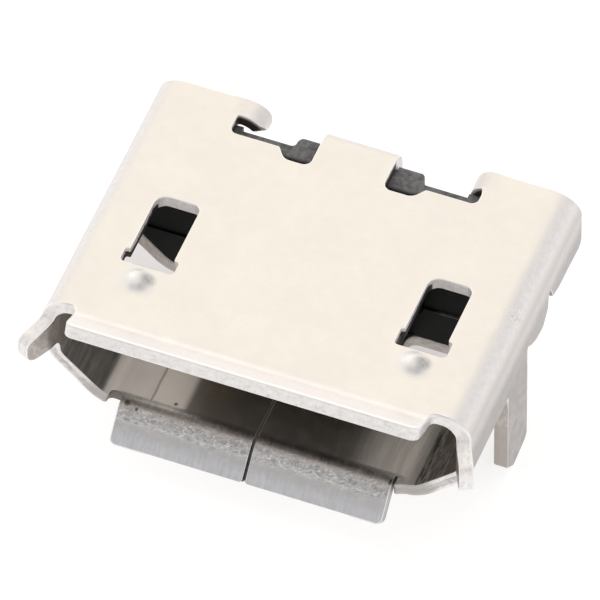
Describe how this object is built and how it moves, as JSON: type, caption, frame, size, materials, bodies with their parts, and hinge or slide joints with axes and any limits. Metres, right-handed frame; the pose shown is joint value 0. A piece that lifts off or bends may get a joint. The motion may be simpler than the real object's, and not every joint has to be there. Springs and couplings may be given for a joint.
{
  "type": "micro usb socket",
  "caption": "Board-mounted micro usb socket: folded nickel-plated sheet shell with a flared mouth, latch windows and board legs, around a black body with a contact tongue.",
  "frame": {"origin": "on the board face of the shell's floor, on the middle plane, midway between the two legs along their width", "axes": "+Z away from the board, -Y out of the mouth, +X to the right when looking into the mouth from -Y"},
  "size_m": [0.008, 0.006, 0.0036],
  "materials": {
    "shell": "satin nickel plate over stamped sheet",
    "housing": "moulded black plastic",
    "contact": "gold plated strip"
  },
  "bodies": {
    "root": {"shell": "shell", "housing": "housing", "contact_1": "contact", "contact_2": "contact", "contact_3": "contact", "contact_4": "contact", "contact_5": "contact"}
  },
  "joints": []
}
